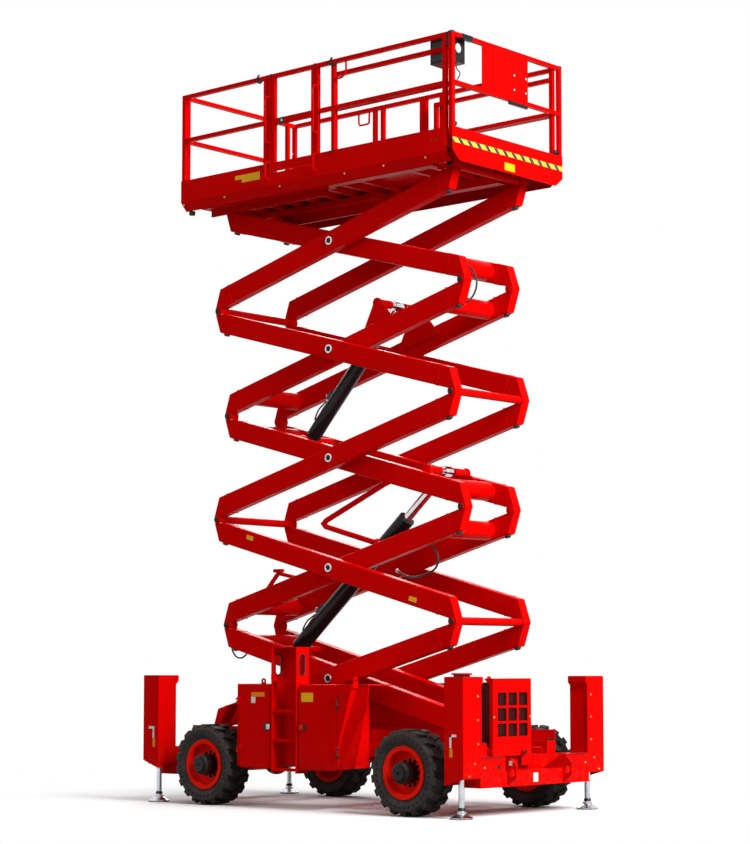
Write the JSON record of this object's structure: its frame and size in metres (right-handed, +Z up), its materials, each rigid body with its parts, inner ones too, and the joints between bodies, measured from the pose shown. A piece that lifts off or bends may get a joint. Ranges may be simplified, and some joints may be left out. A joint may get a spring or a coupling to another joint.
{
  "type": "rough-terrain scissor lift",
  "caption": "Four-wheel scissor lift with outriggers, a raised stack of crossed arms, two lift cylinders and a guarded platform with a roll-out deck.",
  "frame": {"origin": "on the ground under the middle of the chassis, at the middle of the whole part's footprint", "axes": "+X to the front, +Y to the left side, +Z up"},
  "size_m": [4.8, 2.444, 7.964],
  "materials": {
    "red_paint": "gloss powder coat",
    "black_paint": "satin",
    "tyre": "matte rubber",
    "chrome_rod": "polished",
    "zinc_steel": "zinc plated",
    "engine_iron": "matte",
    "dark_plastic": "matte"
  },
  "bodies": {
    "inner_frame_1": {"inner_arms_1": "red_paint"},
    "outer_frame_1": {"outer_arms_1": "red_paint"},
    "inner_frame_2": {"inner_arms_2": "red_paint"},
    "outer_frame_2": {"outer_arms_2": "red_paint"},
    "inner_frame_3": {"inner_arms_3": "red_paint"},
    "outer_frame_3": {"outer_arms_3": "red_paint"},
    "inner_frame_4": {"inner_arms_4": "red_paint"},
    "outer_frame_4": {"outer_arms_4": "red_paint"},
    "inner_frame_5": {"inner_arms_5": "red_paint"},
    "outer_frame_5": {"outer_arms_5": "red_paint"},
    "chassis": {"chassis_frame": "red_paint", "bumpers": "red_paint", "outrigger_housings": "red_paint", "right_cabinet": "red_paint", "left_cabinet": "red_paint", "engine": "engine_iron", "ladder_sides": "red_paint", "ladder_rungs": "red_paint", "radiator_cover": "red_paint", "radiator_core": "black_paint", "exhaust": "red_paint", "front_axle": "black_paint", "rear_axle": "black_paint"},
    "knuckle_left": {"knuckle_left": "black_paint"},
    "knuckle_right": {"knuckle_right": "black_paint"},
    "wheel_front_left": {"tyre_front_left": "tyre", "rim_front_left": "red_paint", "hub_front_left": "black_paint"},
    "leg_front_left": {"leg_front_left": "zinc_steel"},
    "wheel_front_right": {"tyre_front_right": "tyre", "rim_front_right": "red_paint", "hub_front_right": "black_paint"},
    "leg_front_right": {"leg_front_right": "zinc_steel"},
    "wheel_rear_left": {"tyre_rear_left": "tyre", "rim_rear_left": "red_paint", "hub_rear_left": "black_paint"},
    "leg_rear_left": {"leg_rear_left": "zinc_steel"},
    "wheel_rear_right": {"tyre_rear_right": "tyre", "rim_rear_right": "red_paint", "hub_rear_right": "black_paint"},
    "leg_rear_right": {"leg_rear_right": "zinc_steel"},
    "door_right_rear": {"door_right_rear": "red_paint"},
    "door_right_front": {"door_right_front": "red_paint"},
    "door_left_rear": {"door_left_rear": "red_paint"},
    "door_left_front": {"door_left_front": "red_paint"},
    "lower_barrel": {"lower_barrel": "black_paint"},
    "lower_rod": {"lower_rod": "chrome_rod"},
    "upper_barrel": {"upper_barrel": "black_paint"},
    "upper_rod": {"upper_rod": "chrome_rod"},
    "platform": {"platform_deck": "red_paint", "toe_boards": "red_paint", "guard_rails": "red_paint"},
    "gate": {"gate": "red_paint"},
    "extension": {"extension_deck": "red_paint", "extension_rails": "red_paint", "sign_panel": "red_paint", "control_box": "dark_plastic"}
  },
  "joints": [
    {"name": "lift", "type": "hinge", "parent": "chassis", "child": "inner_frame_1", "pos_m": [1.7, 0, 0.778], "axis": [0, 1, 0], "range_deg": [-14.8, 32.8]},
    {"name": "outer_1_mid_pin", "type": "hinge", "parent": "inner_frame_1", "child": "outer_frame_1", "pos_m": [0, 0, 1.368], "axis": [0, 1, 0], "range_deg": [-66.1, 30.1]},
    {"name": "outer_2_end_pin", "type": "hinge", "parent": "outer_frame_1", "child": "outer_frame_2", "pos_m": [1.7, 0, 1.958], "axis": [0, 1, 0], "range_deg": [-30.1, 66.1]},
    {"name": "inner_2_mid_pin", "type": "hinge", "parent": "outer_frame_2", "child": "inner_frame_2", "pos_m": [0, 0, 2.548], "axis": [0, 1, 0], "range_deg": [-66.1, 30.1]},
    {"name": "outer_3_end_pin", "type": "hinge", "parent": "outer_frame_2", "child": "outer_frame_3", "pos_m": [-1.7, 0, 3.138], "axis": [0, 1, 0], "range_deg": [-66.1, 30.1]},
    {"name": "inner_3_mid_pin", "type": "hinge", "parent": "outer_frame_3", "child": "inner_frame_3", "pos_m": [0, 0, 3.728], "axis": [0, 1, 0], "range_deg": [-30.1, 66.1]},
    {"name": "outer_4_end_pin", "type": "hinge", "parent": "outer_frame_3", "child": "outer_frame_4", "pos_m": [1.7, 0, 4.318], "axis": [0, 1, 0], "range_deg": [-30.1, 66.1]},
    {"name": "inner_4_mid_pin", "type": "hinge", "parent": "outer_frame_4", "child": "inner_frame_4", "pos_m": [0, 0, 4.908], "axis": [0, 1, 0], "range_deg": [-66.1, 30.1]},
    {"name": "outer_5_end_pin", "type": "hinge", "parent": "outer_frame_4", "child": "outer_frame_5", "pos_m": [-1.7, 0, 5.498], "axis": [0, 1, 0], "range_deg": [-66.1, 30.1]},
    {"name": "inner_5_mid_pin", "type": "hinge", "parent": "outer_frame_5", "child": "inner_frame_5", "pos_m": [0, 0, 6.088], "axis": [0, 1, 0], "range_deg": [-30.1, 66.1]},
    {"name": "platform_pin", "type": "hinge", "parent": "outer_frame_5", "child": "platform", "pos_m": [1.7, 0, 6.678], "axis": [0, 1, 0], "range_deg": [-15.3, 33.3]},
    {"name": "lower_cylinder_pin", "type": "hinge", "parent": "inner_frame_1", "child": "lower_barrel", "pos_m": [-1.05042, 0, 1.67963], "axis": [0, 1, 0], "range_deg": [-67.74, 30.84]},
    {"name": "lower_cylinder_stroke", "type": "slide", "parent": "lower_barrel", "child": "lower_rod", "axis": [0.7563, 0, 0.6542], "range_m": [-0.6261, 1.3864]},
    {"name": "upper_cylinder_pin", "type": "hinge", "parent": "inner_frame_3", "child": "upper_barrel", "pos_m": [-0.84984, 0, 4.01977], "axis": [0, 1, 0], "range_deg": [-73.32, 33.36]},
    {"name": "upper_cylinder_stroke", "type": "slide", "parent": "upper_barrel", "child": "upper_rod", "axis": [0.679, 0, 0.7342], "range_m": [-0.3962, 0.8769]},
    {"name": "steer_right", "type": "hinge", "parent": "chassis", "child": "knuckle_right", "pos_m": [1.488, -0.8, 0.435], "axis": [0, 0, 1], "range_deg": [-25, 25]},
    {"name": "steer_left", "type": "hinge", "parent": "chassis", "child": "knuckle_left", "pos_m": [1.488, 0.8, 0.435], "axis": [0, 0, 1], "range_deg": [-25, 25]},
    {"name": "roll_front_left", "type": "hinge", "parent": "knuckle_left", "child": "wheel_front_left", "pos_m": [1.488, 1, 0.435], "axis": [0, 1, 0], "continuous": true},
    {"name": "roll_front_right", "type": "hinge", "parent": "knuckle_right", "child": "wheel_front_right", "pos_m": [1.488, -1, 0.435], "axis": [0, 1, 0], "continuous": true},
    {"name": "roll_rear_left", "type": "hinge", "parent": "chassis", "child": "wheel_rear_left", "pos_m": [-1.366, 1, 0.435], "axis": [0, 1, 0], "continuous": true},
    {"name": "roll_rear_right", "type": "hinge", "parent": "chassis", "child": "wheel_rear_right", "pos_m": [-1.366, -1, 0.435], "axis": [0, 1, 0], "continuous": true},
    {"name": "outrigger_front_left", "type": "slide", "parent": "chassis", "child": "leg_front_left", "axis": [0, 0, 1], "range_m": [-0.2, 0.22]},
    {"name": "outrigger_front_right", "type": "slide", "parent": "chassis", "child": "leg_front_right", "axis": [0, 0, 1], "range_m": [-0.2, 0.22]},
    {"name": "outrigger_rear_left", "type": "slide", "parent": "chassis", "child": "leg_rear_left", "axis": [0, 0, 1], "range_m": [-0.2, 0.22]},
    {"name": "outrigger_rear_right", "type": "slide", "parent": "chassis", "child": "leg_rear_right", "axis": [0, 0, 1], "range_m": [-0.2, 0.22]},
    {"name": "open_door_right_front", "type": "hinge", "parent": "chassis", "child": "door_right_front", "pos_m": [0.602, -1.159, 0.875], "axis": [0, 0, 1], "range_deg": [0, 110]},
    {"name": "open_door_right_rear", "type": "hinge", "parent": "chassis", "child": "door_right_rear", "pos_m": [-0.83, -1.159, 0.875], "axis": [0, 0, -1], "range_deg": [0, 110]},
    {"name": "open_door_left_front", "type": "hinge", "parent": "chassis", "child": "door_left_front", "pos_m": [0.602, 1.159, 0.875], "axis": [0, 0, -1], "range_deg": [0, 110]},
    {"name": "open_door_left_rear", "type": "hinge", "parent": "chassis", "child": "door_left_rear", "pos_m": [-0.83, 1.159, 0.875], "axis": [0, 0, 1], "range_deg": [0, 110]},
    {"name": "open_gate", "type": "hinge", "parent": "platform", "child": "gate", "pos_m": [-0.588, -0.87, 7.3], "axis": [0, 0, 1], "range_deg": [0, 90]},
    {"name": "roll_out_deck", "type": "slide", "parent": "platform", "child": "extension", "axis": [1, 0, 0], "range_m": [0, 1.2]}
  ],
  "couplings": [
    {"joint": "outer_1_mid_pin", "follows": "lift", "ratio": -2},
    {"joint": "outer_2_end_pin", "follows": "lift", "ratio": 2},
    {"joint": "inner_2_mid_pin", "follows": "lift", "ratio": -2},
    {"joint": "outer_3_end_pin", "follows": "lift", "ratio": -2},
    {"joint": "inner_3_mid_pin", "follows": "lift", "ratio": 2},
    {"joint": "outer_4_end_pin", "follows": "lift", "ratio": 2},
    {"joint": "inner_4_mid_pin", "follows": "lift", "ratio": -2},
    {"joint": "outer_5_end_pin", "follows": "lift", "ratio": -2},
    {"joint": "inner_5_mid_pin", "follows": "lift", "ratio": 2},
    {"joint": "platform_pin", "follows": "lift", "ratio": 1},
    {"joint": "lower_cylinder_pin", "follows": "lift", "ratio": -2.05},
    {"joint": "lower_cylinder_stroke", "follows": "lift", "m_per_rad": 2.42},
    {"joint": "upper_cylinder_pin", "follows": "lift", "ratio": -2.22},
    {"joint": "upper_cylinder_stroke", "follows": "lift", "m_per_rad": 1.53},
    {"joint": "steer_left", "follows": "steer_right", "ratio": 1}
  ]
}
